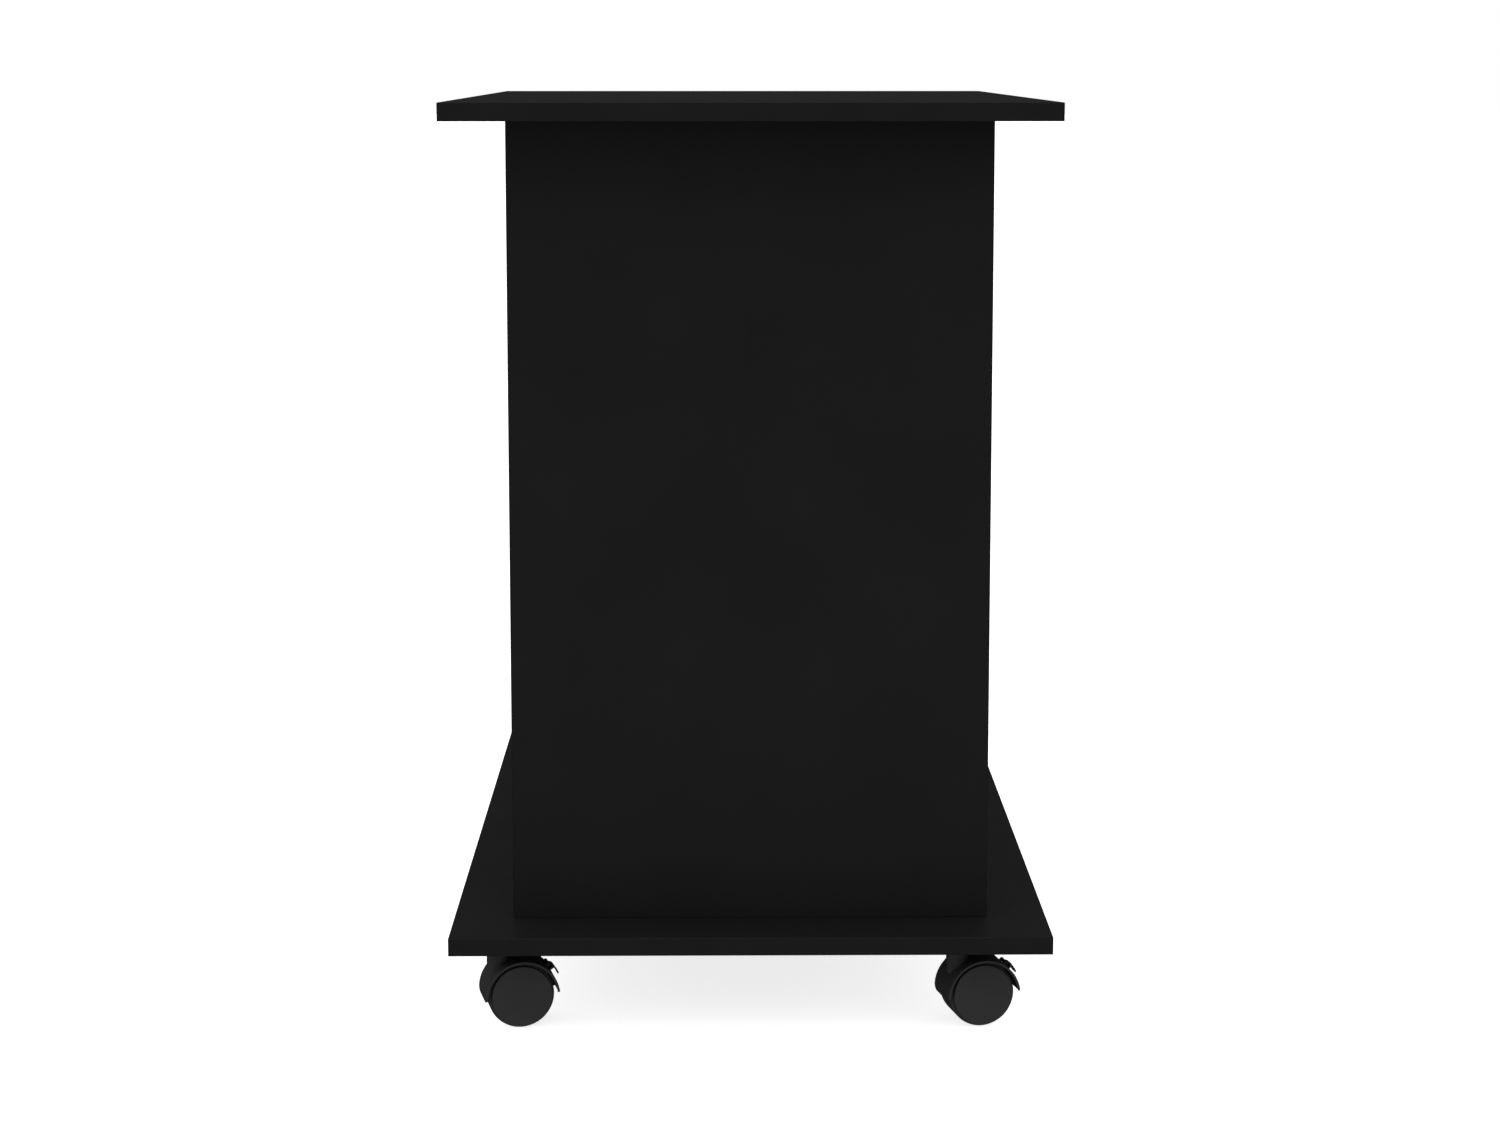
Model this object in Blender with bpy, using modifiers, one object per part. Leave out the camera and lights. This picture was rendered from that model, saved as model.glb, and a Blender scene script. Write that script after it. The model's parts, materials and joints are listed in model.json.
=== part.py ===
"""Mobile printer stand: two end panels between a top and a base board, a shelf and a rear rail, on four
braked twin-wheel castors.

Frame: origin on the floor under the middle of the stand, +X along its width, -Y to the front, +Z up.
The castors are modelled once about their own swivel axis and then placed at each corner, trailing the
same way, as they do after the stand has been pushed. All lengths are in metres.
"""

import math

import bmesh
import bpy
from mathutils import Matrix, Vector

MM = 0.001

# Boards
WIDTH = 0.800
DEPTH = 0.500
BOARD = 0.015
PANEL_DEPTH = 0.400
END_OVERHANG = 0.060
CASTOR_HEIGHT = 0.075
BODY_HEIGHT = 0.700
SHELF_DEPTH = 0.390
SHELF_CLEAR_BELOW = 0.320
RAIL_HEIGHT = 0.140
RAIL_SETBACK = 0.010
GAP = 0.0003

BASE_BOTTOM = CASTOR_HEIGHT
BASE_TOP = BASE_BOTTOM + BOARD
TOP_BOTTOM = BASE_BOTTOM + BODY_HEIGHT - BOARD
PANEL_OUTER = WIDTH / 2 - END_OVERHANG
PANEL_INNER = PANEL_OUTER - BOARD
PANEL_MIDDLE = (PANEL_OUTER + PANEL_INNER) / 2
INSIDE_HALF = PANEL_INNER - GAP
SHELF_MIDDLE = BASE_TOP + SHELF_CLEAR_BELOW + BOARD / 2
RAIL_BACK = PANEL_DEPTH / 2 - RAIL_SETBACK
RAIL_TOP = TOP_BOTTOM - GAP

# Cam fittings: a disc let into one board pulls on a bolt screwed into the other
CAM_RADIUS = 0.0074
CAM_DEPTH = 0.0122
CAM_SETBACK = 0.024
CAM_SLOT = 0.0022
CAM_SLOT_DEPTH = 0.003
BOLT_RADIUS = 0.0030
BOLT_BITE = 0.0110
TOP_CAM_Y = 0.140
SHELF_CAM_Y = 0.140

# Confirmat screws, up through the base into the end panels
CONFIRMAT_LENGTH = 0.050
CONFIRMAT_HEAD_RADIUS = 0.0048
CONFIRMAT_HEAD = 0.0035
CONFIRMAT_RADIUS = 0.0030
CONFIRMAT_Y = 0.110
HEX_RADIUS = 0.0022
HEX_DEPTH = 0.0025

# Castors, in their own frame: swivel axis on Z, wheels trailing along +Y, axle along X, floor at z 0
CASTOR_X = 0.345
CASTOR_FRONT_Y = -0.213
CASTOR_REAR_Y = 0.175
CASTOR_TURN = math.radians(12.7)
TRAIL = 0.0174
WHEEL_RADIUS = 0.028
WHEEL_SIDES = 28
WHEEL_INNER_FACE = 0.0040
WHEEL_OUTER_FACE = 0.0200
WHEEL_CHAMFER = 0.0018
AXLE_RADIUS = 0.0030
AXLE_HALF = 0.0175
RUNNING_GAP = 0.0003
HOOD_RADIUS = 0.0316
HOOD_WALL = 0.0014
HOOD_HALF = 0.0212
HOOD_BACK = 0.0007
HOOD_DROP = 0.0015
HOOD_TAIL_ANGLE = 7
HOOD_NOSE_ANGLE = 185
HOOD_CORNER = 0.0065
WEB_HALF = 0.0030
AXLE_BOSS_RADIUS = 0.0080
NECK_RADIUS = 0.0095
NECK_TOP = 0.0717
KINGPIN_RADIUS = 0.0050
KINGPIN_BOTTOM = 0.0576
KINGPIN_BORE_BOTTOM = 0.0570
KINGPIN_GROOVE = 0.0006
PLATE_HALF = 0.020
PLATE_THICKNESS = 0.0025
PLATE_CORNER = 0.004
PLATE_TOP = CASTOR_HEIGHT - GAP
PLATE_BOTTOM = PLATE_TOP - PLATE_THICKNESS
SCREW_SPACING = 0.030
SCREW_RADIUS = 0.0016
SCREW_HEAD_RADIUS = 0.0034
SCREW_HEAD = 0.0020
SCREW_LENGTH = 0.012
SCREW_CLEARANCE = 0.0005

# Brake lever: a tab over the tail of the hood, and a shoe that reaches both treads through a window.
# Radii and angles are about the hood's centre, with the angles in degrees up from the trailing side.
TAB_HALF = 0.0045
TAB_INNER = 0.0350
TAB_OUTER = 0.0366
TAB_ANGLES = (24, 38)
PIVOT_RADIUS = 0.0331
PIVOT_ANGLE = 45
BARREL_RADIUS = 0.0012
TRUNNION_RADIUS = 0.0008
TRUNNION_HALF = 0.0064
SHOE_HALF = 0.0080
SHOE_RADII = (0.0296, 0.0352)
SHOE_ANGLES = (36.5, 40)
WINDOW_HALF = 0.0086
WINDOW_FLOOR = 0.0280
WINDOW_ANGLES = (33.5, 42.5)
EAR_INNER_FACE = 0.0048
EAR_OUTER_FACE = 0.0066
EAR_RADIUS = 0.0018
EAR_FOOT_RADII = (0.0308, 0.0331)
EAR_FOOT_ANGLES = (43, 48)

AXLE_CENTRE = Vector((0, TRAIL, WHEEL_RADIUS))
HOOD_CENTRE = Vector((0, TRAIL + HOOD_BACK, WHEEL_RADIUS - HOOD_DROP))
PIVOT_CENTRE = HOOD_CENTRE + PIVOT_RADIUS * Vector(
    (0, math.cos(math.radians(PIVOT_ANGLE)), math.sin(math.radians(PIVOT_ANGLE)))
)

Z_TO_X = Matrix.Rotation(math.pi / 2, 4, "Y")
Z_TO_Y = Matrix.Rotation(-math.pi / 2, 4, "X")
# A flat outline drawn in XY stands up in YZ, and its thickness runs along X.
OUTLINE_TO_YZ = Matrix(((0, 0, 1, 0), (1, 0, 0, 0), (0, 1, 0, 0), (0, 0, 0, 1)))


# ---------------------------------------------------------------- scene and finishes


def clear_scene():
    for obj in list(bpy.data.objects):
        bpy.data.objects.remove(obj)


def collection(name, hidden=False):
    made = bpy.data.collections.new(name)
    bpy.context.scene.collection.children.link(made)
    made.hide_render = hidden
    return made


def finish(name, colour, roughness, metallic=0.0):
    material = bpy.data.materials.new(name)
    material.use_nodes = True
    shader = material.node_tree.nodes["Principled BSDF"]
    shader.inputs["Base Color"].default_value = (*colour, 1)
    shader.inputs["Roughness"].default_value = roughness
    shader.inputs["Metallic"].default_value = metallic
    return material


# ---------------------------------------------------------------- shapes


def in_helpers(obj):
    for other in list(obj.users_collection):
        other.objects.unlink(obj)
    HELPERS.objects.link(obj)
    obj.hide_render = True
    obj.display_type = "WIRE"
    return obj


def box(low, high):
    low, high = Vector(low), Vector(high)
    bpy.ops.mesh.primitive_cube_add(size=1)
    obj = bpy.context.object
    obj.data.transform(Matrix.Diagonal((*(high - low), 1)))
    obj.data.transform(Matrix.Translation((low + high) / 2))
    return in_helpers(obj)


def rod(radius, start, end, sides=20, turn=0.0):
    """A straight cylinder from start to end, which lie on one line along X, Y or Z."""
    start, end = Vector(start), Vector(end)
    bpy.ops.mesh.primitive_cylinder_add(vertices=sides, radius=radius, depth=(end - start).length)
    obj = bpy.context.object
    along = (end - start).normalized()
    obj.data.transform(Matrix.Rotation(turn, 4, "Z"))
    if abs(along.x) > 0.5:
        obj.data.transform(Z_TO_X)
    elif abs(along.y) > 0.5:
        obj.data.transform(Z_TO_Y)
    obj.data.transform(Matrix.Translation((start + end) / 2))
    return in_helpers(obj)


def as_mesh(obj):
    """The evaluated object as a plain mesh object, with the seams between a curve's caps and sides welded."""
    bpy.context.view_layer.update()
    graph = bpy.context.evaluated_depsgraph_get()
    data = bpy.data.meshes.new_from_object(obj.evaluated_get(graph))
    shape = bmesh.new()
    shape.from_mesh(data)
    bmesh.ops.remove_doubles(shape, verts=shape.verts, dist=1e-6)
    bmesh.ops.recalc_face_normals(shape, faces=shape.faces)
    shape.to_mesh(data)
    shape.free()
    made = bpy.data.objects.new(obj.name + "_mesh", data)
    made.matrix_world = obj.matrix_world
    bpy.data.objects.remove(obj)
    return in_helpers(made)


def slab(outline, half):
    """A closed (y, z) outline given a thickness of twice half, across X."""
    curve = bpy.data.curves.new("outline", "CURVE")
    curve.dimensions = "2D"
    curve.fill_mode = "BOTH"
    curve.extrude = half
    spline = curve.splines.new("POLY")
    spline.points.add(len(outline) - 1)
    for point, (y, z) in zip(spline.points, outline):
        point.co = (y, z, 0, 1)
    spline.use_cyclic_u = True
    obj = as_mesh(in_helpers(bpy.data.objects.new("outline", curve)))
    obj.data.transform(OUTLINE_TO_YZ)
    return obj


def turned(profile, sides):
    """A solid turned about Z from (radius, height) points that run from the top of the axis to its foot."""
    data = bpy.data.meshes.new("profile")
    shape = bmesh.new()
    points = [shape.verts.new((radius, 0, height)) for radius, height in profile]
    for upper, lower in zip(points, points[1:]):
        shape.edges.new((upper, lower))
    shape.to_mesh(data)
    shape.free()
    obj = in_helpers(bpy.data.objects.new("profile", data))
    screw = obj.modifiers.new("Turn", "SCREW")
    screw.steps = sides
    screw.render_steps = sides
    screw.use_merge_vertices = True
    screw.merge_threshold = 0.00001
    return as_mesh(obj)


def joined(base, parts=(), cuts=()):
    """base with the parts joined on and then the cuts taken out, as one mesh object."""
    for operation, others in (("UNION", parts), ("DIFFERENCE", cuts)):
        for other in others:
            modifier = base.modifiers.new(operation, "BOOLEAN")
            modifier.operation = operation
            modifier.object = other
    made = as_mesh(base)
    for other in (*parts, *cuts):
        bpy.data.objects.remove(other)
    return made


def arc(centre, radius, start, end, steps):
    """(y, z) points along an arc, in degrees from the trailing side, up over the top."""
    angles = [math.radians(start + (end - start) * i / steps) for i in range(steps + 1)]
    return [(centre.y + radius * math.cos(a), centre.z + radius * math.sin(a)) for a in angles]


def ring_sector(inner, outer, angles, half, steps):
    """A block between two radii and two angles about the hood's centre, across X."""
    start, end = angles
    outline = arc(HOOD_CENTRE, outer, start, end, steps) + arc(HOOD_CENTRE, inner, end, start, steps)
    return slab(outline, half)


def node(name, shape, material, parent=None, offset=Vector()):
    """A named piece of the stand from a finished shape, which may be shared with other pieces."""
    obj = bpy.data.objects.new(name, shape.data)
    if not shape.data.materials:
        shape.data.materials.append(material)
        shape.data.shade_smooth()
        shape.data.set_sharp_from_angle(angle=math.radians(35))
    obj.parent = parent
    obj.location = offset
    STAND.objects.link(obj)
    return obj


# ---------------------------------------------------------------- boards and their fittings


def cam_fitting(disc_face, disc_axis, bolt_axis):
    """A cam disc with its bolt, and the bore that both need, for a disc whose face is at disc_face."""
    middle = disc_face + disc_axis * BOARD / 2
    bolt_end = middle + bolt_axis * (CAM_SETBACK + BOLT_BITE)
    bore_end = middle + bolt_axis * (CAM_SETBACK + BOLT_BITE + GAP)
    disc_start = disc_face + disc_axis * GAP
    slot = box(
        disc_face - Vector((CAM_RADIUS, CAM_RADIUS, CAM_RADIUS)),
        disc_face + Vector((CAM_RADIUS, CAM_RADIUS, CAM_RADIUS)),
    )
    keep = [abs(a) > 0.5 for a in disc_axis]
    across = [abs(a) > 0.5 for a in disc_axis.cross(bolt_axis)]
    for corner in slot.data.vertices:
        for i in range(3):
            from_face = corner.co[i] - disc_face[i]
            if keep[i]:
                corner.co[i] = disc_face[i] + from_face / CAM_RADIUS * CAM_SLOT_DEPTH
            elif across[i]:
                corner.co[i] = disc_face[i] + from_face / CAM_RADIUS * CAM_SLOT / 2
    fitting = joined(
        rod(CAM_RADIUS, disc_start, disc_face + disc_axis * CAM_DEPTH),
        parts=[rod(BOLT_RADIUS, middle, bolt_end, sides=12)],
        cuts=[slot],
    )
    bores = [
        rod(CAM_RADIUS + GAP, disc_face - disc_axis * MM, disc_face + disc_axis * (CAM_DEPTH + GAP)),
        rod(BOLT_RADIUS + GAP, middle, bore_end, sides=12),
    ]
    return fitting, bores


def confirmat():
    """A cup-headed screw standing on z 0, with its hexagon socket in the underside of the head."""
    profile = [
        (0, CONFIRMAT_LENGTH),
        (CONFIRMAT_RADIUS * 0.5, CONFIRMAT_LENGTH),
        (CONFIRMAT_RADIUS, CONFIRMAT_LENGTH - 0.004),
        (CONFIRMAT_RADIUS, CONFIRMAT_HEAD),
        (CONFIRMAT_HEAD_RADIUS, CONFIRMAT_HEAD * 0.4),
        (CONFIRMAT_HEAD_RADIUS, 0),
        (0, 0),
    ]
    socket = rod(HEX_RADIUS, (0, 0, -HEX_DEPTH), (0, 0, HEX_DEPTH), sides=6)
    return joined(turned(profile, 16), cuts=[socket])


def copy_of(shape, offset):
    """A cutter with the shape of another, moved by offset."""
    obj = bpy.data.objects.new("copy", shape.data.copy())
    obj.data.transform(Matrix.Translation(offset))
    return in_helpers(obj)


def carcass():
    """The boards, bored for their fittings, and the fittings that hold them together."""
    half_width, half_depth = WIDTH / 2, DEPTH / 2
    top_cuts, base_cuts, shelf_cuts, rail_cuts = [], [], [], []
    panel_cuts = {-1: [], 1: []}
    fittings = []

    for side in (-1, 1):
        hand = "left" if side < 0 else "right"
        outward = Vector((side, 0, 0))
        for y, place in ((-TOP_CAM_Y, "front"), (TOP_CAM_Y, "rear")):
            face = Vector((side * PANEL_INNER, y, TOP_BOTTOM - CAM_SETBACK))
            cam, bores = cam_fitting(face, outward, Vector((0, 0, 1)))
            fittings.append((f"top_cam_{hand}_{place}", cam))
            top_cuts.append(copy_of(bores[1], Vector()))
            panel_cuts[side] += bores
        for y, place in ((-SHELF_CAM_Y, "front"), (SHELF_CAM_Y, "rear")):
            face = Vector((side * (PANEL_INNER - CAM_SETBACK), y, SHELF_MIDDLE - BOARD / 2))
            cam, bores = cam_fitting(face, Vector((0, 0, 1)), outward)
            fittings.append((f"shelf_cam_{hand}_{place}", cam))
            panel_cuts[side].append(copy_of(bores[1], Vector()))
            shelf_cuts += bores
        face = Vector((side * (PANEL_INNER - CAM_SETBACK), RAIL_BACK, RAIL_TOP - RAIL_HEIGHT / 2))
        cam, bores = cam_fitting(face, Vector((0, -1, 0)), outward)
        fittings.append((f"rail_cam_{hand}", cam))
        panel_cuts[side].append(copy_of(bores[1], Vector()))
        rail_cuts += bores
        for y in (-CONFIRMAT_Y, CONFIRMAT_Y):
            foot = (side * PANEL_MIDDLE, y, BASE_BOTTOM)
            head = rod(
                CONFIRMAT_HEAD_RADIUS + GAP,
                (foot[0], foot[1], BASE_BOTTOM - MM),
                (foot[0], foot[1], BASE_BOTTOM + CONFIRMAT_HEAD + GAP),
            )
            base_cuts.append(head)
            for cuts in (base_cuts, panel_cuts[side]):
                end = BASE_BOTTOM + CONFIRMAT_LENGTH + 2 * GAP
                cuts.append(rod(CONFIRMAT_RADIUS + GAP, foot, (foot[0], foot[1], end), sides=16))

    for x, y in castor_places():
        for dx, dy in screw_places():
            foot = Vector((x + dx, y + dy, BASE_BOTTOM - MM))
            end = foot + Vector((0, 0, SCREW_LENGTH))
            base_cuts.append(rod(SCREW_RADIUS + GAP, foot, end, sides=10))

    top = box((-half_width, -half_depth, TOP_BOTTOM), (half_width, half_depth, TOP_BOTTOM + BOARD))
    node("top_board", joined(top, cuts=top_cuts), LAMINATE)
    base = box((-half_width, -half_depth, BASE_BOTTOM), (half_width, half_depth, BASE_TOP))
    node("base_board", joined(base, cuts=base_cuts), LAMINATE)
    shelf = box(
        (-INSIDE_HALF, -SHELF_DEPTH / 2, SHELF_MIDDLE - BOARD / 2),
        (INSIDE_HALF, SHELF_DEPTH / 2, SHELF_MIDDLE + BOARD / 2),
    )
    node("middle_shelf", joined(shelf, cuts=shelf_cuts), LAMINATE)
    rail = box((-INSIDE_HALF, RAIL_BACK - BOARD, RAIL_TOP - RAIL_HEIGHT), (INSIDE_HALF, RAIL_BACK, RAIL_TOP))
    node("rear_rail", joined(rail, cuts=rail_cuts), LAMINATE)
    for side in (-1, 1):
        inner, outer = sorted((side * PANEL_INNER, side * PANEL_OUTER))
        panel = box(
            (inner, -PANEL_DEPTH / 2, BASE_TOP + GAP),
            (outer, PANEL_DEPTH / 2, TOP_BOTTOM - GAP),
        )
        hand = "left" if side < 0 else "right"
        node(f"{hand}_end_panel", joined(panel, cuts=panel_cuts[side]), LAMINATE)

    for name, cam in fittings:
        node(name, cam, ZINC)
    screw = confirmat()
    for side in (-1, 1):
        hand = "left" if side < 0 else "right"
        for y, place in ((-CONFIRMAT_Y, "front"), (CONFIRMAT_Y, "rear")):
            at = Vector((side * PANEL_MIDDLE, y, BASE_BOTTOM + GAP))
            node(f"base_screw_{hand}_{place}", screw, ZINC, offset=at)


# ---------------------------------------------------------------- castors


def castor_places():
    return [(x, y) for y in (CASTOR_FRONT_Y, CASTOR_REAR_Y) for x in (-CASTOR_X, CASTOR_X)]


def screw_places():
    half = SCREW_SPACING / 2
    return [(x, y) for x in (-half, half) for y in (-half, half)]


def castor_plate():
    """The steel top plate with its riveted kingpin, grooved for the housing's snap ring."""
    low, high = -PLATE_HALF, PLATE_HALF
    plate = box((low, low, PLATE_BOTTOM), (high, high, PLATE_TOP))
    rounded = plate.modifiers.new("Corners", "BEVEL")
    rounded.width = PLATE_CORNER
    rounded.segments = 3
    rounded.limit_method = "WEIGHT"
    weights = plate.data.attributes.new("bevel_weight_edge", "FLOAT", "EDGE")
    for edge in plate.data.edges:
        ends = [plate.data.vertices[i].co for i in edge.vertices]
        weights.data[edge.index].value = float(abs(ends[0].z - ends[1].z) > PLATE_THICKNESS / 2)
    groove = (PLATE_BOTTOM + KINGPIN_BOTTOM) / 2
    kingpin = turned(
        [
            (0, PLATE_TOP - MM),
            (KINGPIN_RADIUS, PLATE_TOP - MM),
            (KINGPIN_RADIUS, groove + MM),
            (KINGPIN_RADIUS - KINGPIN_GROOVE, groove + MM),
            (KINGPIN_RADIUS - KINGPIN_GROOVE, groove - MM),
            (KINGPIN_RADIUS, groove - MM),
            (KINGPIN_RADIUS, KINGPIN_BOTTOM + MM),
            (KINGPIN_RADIUS - MM, KINGPIN_BOTTOM),
            (0, KINGPIN_BOTTOM),
        ],
        20,
    )
    holes = [
        rod(SCREW_RADIUS + SCREW_CLEARANCE, (x, y, PLATE_BOTTOM - MM), (x, y, PLATE_TOP + MM), sides=12)
        for x, y in screw_places()
    ]
    return joined(as_mesh(plate), parts=[kingpin], cuts=holes)


def castor_screw():
    """A pan-head screw whose head bears on the underside of the plate, seated at z 0."""
    profile = [
        (0, SCREW_LENGTH),
        (SCREW_RADIUS, SCREW_LENGTH - 2 * MM),
        (SCREW_RADIUS, 0),
        (SCREW_HEAD_RADIUS, 0),
        (SCREW_HEAD_RADIUS, -SCREW_HEAD * 0.5),
        (SCREW_HEAD_RADIUS * 0.7, -SCREW_HEAD),
        (0, -SCREW_HEAD),
    ]
    return turned(profile, 10)


def nose_corner(side):
    """The waste outside one rounded lower corner of the hood's nose."""
    bottom = HOOD_CENTRE.z + HOOD_RADIUS * math.sin(math.radians(HOOD_NOSE_ANGLE))
    front = HOOD_CENTRE.y - HOOD_RADIUS - MM
    middle = Vector((side * (HOOD_HALF - HOOD_CORNER), 0, bottom + HOOD_CORNER))
    inner, outer = sorted((middle.x, side * (HOOD_HALF + MM)))
    block = box((inner, front, bottom - MM), (outer, front + HOOD_CORNER, middle.z))
    middle.y = front - MM
    return joined(block, cuts=[rod(HOOD_CORNER, middle, middle + Vector((0, 2 * HOOD_CORNER, 0)), sides=40)])


def lever_ear(side):
    """One of the two ears that hold the lever's trunnions."""
    inner, outer = Vector((side * EAR_INNER_FACE, 0, 0)), Vector((side * EAR_OUTER_FACE, 0, 0))
    foot = ring_sector(*EAR_FOOT_RADII, EAR_FOOT_ANGLES, (EAR_OUTER_FACE - EAR_INNER_FACE) / 2, 2)
    foot.data.transform(Matrix.Translation((inner + outer) / 2))
    return joined(foot, parts=[rod(EAR_RADIUS, PIVOT_CENTRE + inner, PIVOT_CENTRE + outer, sides=18)])


def castor_housing():
    """The moulded body: a hood over both wheels, a web between them, a neck for the kingpin, and ears
    for the brake lever beside the window that its shoe works through."""
    hood = slab(arc(HOOD_CENTRE, HOOD_RADIUS, HOOD_TAIL_ANGLE, HOOD_NOSE_ANGLE, 24), HOOD_HALF)
    neck = rod(NECK_RADIUS, (0, 0, AXLE_CENTRE.z + WHEEL_RADIUS / 2), (0, 0, NECK_TOP), sides=24)
    web_face = Vector((WEB_HALF, 0, 0))
    boss = rod(AXLE_BOSS_RADIUS, AXLE_CENTRE - web_face, AXLE_CENTRE + web_face)
    outside = Vector((HOOD_HALF + MM, 0, 0))
    wells = [
        rod(HOOD_RADIUS - HOOD_WALL, HOOD_CENTRE + side * web_face, HOOD_CENTRE + side * outside, sides=36)
        for side in (-1, 1)
    ]
    window = ring_sector(WINDOW_FLOOR, TAB_OUTER, WINDOW_ANGLES, WINDOW_HALF, 2)
    body = joined(hood, parts=[neck, boss], cuts=[*wells, window, nose_corner(-1), nose_corner(1)])
    kingpin_bore = rod(
        KINGPIN_RADIUS + RUNNING_GAP, (0, 0, KINGPIN_BORE_BOTTOM), (0, 0, NECK_TOP + MM), sides=24
    )
    axle_bore = rod(
        AXLE_RADIUS + RUNNING_GAP, AXLE_CENTRE - 2 * web_face, AXLE_CENTRE + 2 * web_face, sides=20
    )
    reach = Vector((HOOD_HALF, 0, 0))
    pivot_bore = rod(TRUNNION_RADIUS + RUNNING_GAP, PIVOT_CENTRE - reach, PIVOT_CENTRE + reach, sides=14)
    return joined(body, parts=[lever_ear(-1), lever_ear(1)], cuts=[kingpin_bore, axle_bore, pivot_bore])


def brake_lever():
    """The foot tab, its trunnions, and the shoe that presses on both treads when the tab is pushed down."""
    tip, bend = TAB_ANGLES
    barrel_top = arc(HOOD_CENTRE, PIVOT_RADIUS + BARREL_RADIUS, PIVOT_ANGLE, PIVOT_ANGLE, 1)[:1]
    barrel_foot = arc(HOOD_CENTRE, PIVOT_RADIUS - BARREL_RADIUS, PIVOT_ANGLE, PIVOT_ANGLE, 1)[:1]
    outline = (
        arc(HOOD_CENTRE, TAB_OUTER, tip, bend, 4)
        + barrel_top
        + barrel_foot
        + arc(HOOD_CENTRE, TAB_INNER, bend - 2, tip, 4)
    )
    tab = slab(outline, TAB_HALF)
    shoe = ring_sector(*SHOE_RADII, SHOE_ANGLES, SHOE_HALF, 1)
    barrel_reach = Vector((TAB_HALF, 0, 0))
    barrel = rod(BARREL_RADIUS, PIVOT_CENTRE - barrel_reach, PIVOT_CENTRE + barrel_reach, sides=16)
    reach = Vector((TRUNNION_HALF, 0, 0))
    trunnion = rod(TRUNNION_RADIUS, PIVOT_CENTRE - reach, PIVOT_CENTRE + reach, sides=14)
    return joined(tab, parts=[shoe, barrel, trunnion])


def wheel(side):
    """One wheel of the pair, with a blind bore for the axle and one flat of its tread on the floor."""
    half_step = math.pi / WHEEL_SIDES
    radius = WHEEL_RADIUS / math.cos(half_step)
    bore = AXLE_RADIUS + RUNNING_GAP
    bore_end = AXLE_HALF + RUNNING_GAP
    profile = [
        (0, WHEEL_OUTER_FACE),
        (radius - WHEEL_CHAMFER, WHEEL_OUTER_FACE),
        (radius, WHEEL_OUTER_FACE - WHEEL_CHAMFER),
        (radius, WHEEL_INNER_FACE + WHEEL_CHAMFER / 2),
        (radius - WHEEL_CHAMFER / 2, WHEEL_INNER_FACE),
        (bore, WHEEL_INNER_FACE),
        (bore, bore_end),
        (0, bore_end),
    ]
    obj = turned(profile, WHEEL_SIDES)
    obj.data.transform(Matrix.Rotation(half_step, 4, "Z"))
    obj.data.transform(Z_TO_X)
    if side < 0:
        obj.data.transform(Matrix.Rotation(math.pi, 4, "Z"))
    return obj


def castors():
    """Four castors, each on an empty at its swivel axis, with its wheels and lever about their own axes."""
    plate = castor_plate()
    housing = castor_housing()
    lever = brake_lever()
    lever.data.transform(Matrix.Translation(-PIVOT_CENTRE))
    axle = rod(AXLE_RADIUS, (-AXLE_HALF, 0, 0), (AXLE_HALF, 0, 0), sides=16)
    wheels = {"right": wheel(1), "left": wheel(-1)}
    screw = castor_screw()
    for x, y in castor_places():
        corner = ("front" if y < 0 else "rear") + ("_left" if x < 0 else "_right")
        name = f"{corner}_castor"
        fixed = Vector((x, y, 0))
        node(f"{name}_plate", plate, STEEL, offset=fixed)
        for i, (dx, dy) in enumerate(screw_places(), start=1):
            at = fixed + Vector((dx, dy, PLATE_BOTTOM - GAP))
            node(f"{name}_screw_{i}", screw, STEEL, offset=at)
        swivel = bpy.data.objects.new(f"{name}_swivel_axis", None)
        swivel.location = fixed
        swivel.rotation_euler.z = CASTOR_TURN
        STAND.objects.link(swivel)
        node(f"{name}_housing", housing, NYLON, swivel)
        node(f"{name}_axle", axle, STEEL, swivel, AXLE_CENTRE)
        node(f"{name}_brake_lever", lever, NYLON, swivel, PIVOT_CENTRE)
        for hand, shape in wheels.items():
            node(f"{name}_{hand}_wheel", shape, NYLON, swivel, AXLE_CENTRE)


clear_scene()
STAND = collection("mobile_printer_stand")
HELPERS = collection("helpers", hidden=True)
LAMINATE = finish("black_melamine", (0.011, 0.011, 0.011), 0.45)
NYLON = finish("black_nylon", (0.020, 0.020, 0.020), 0.40)
ZINC = finish("die_cast_zinc", (0.55, 0.55, 0.54), 0.35, 1.0)
STEEL = finish("zinc_plated_steel", (0.60, 0.60, 0.58), 0.30, 1.0)
carcass()
castors()
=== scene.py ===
import json
import math

import bmesh
import bpy
from mathutils import Matrix, Vector


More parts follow.
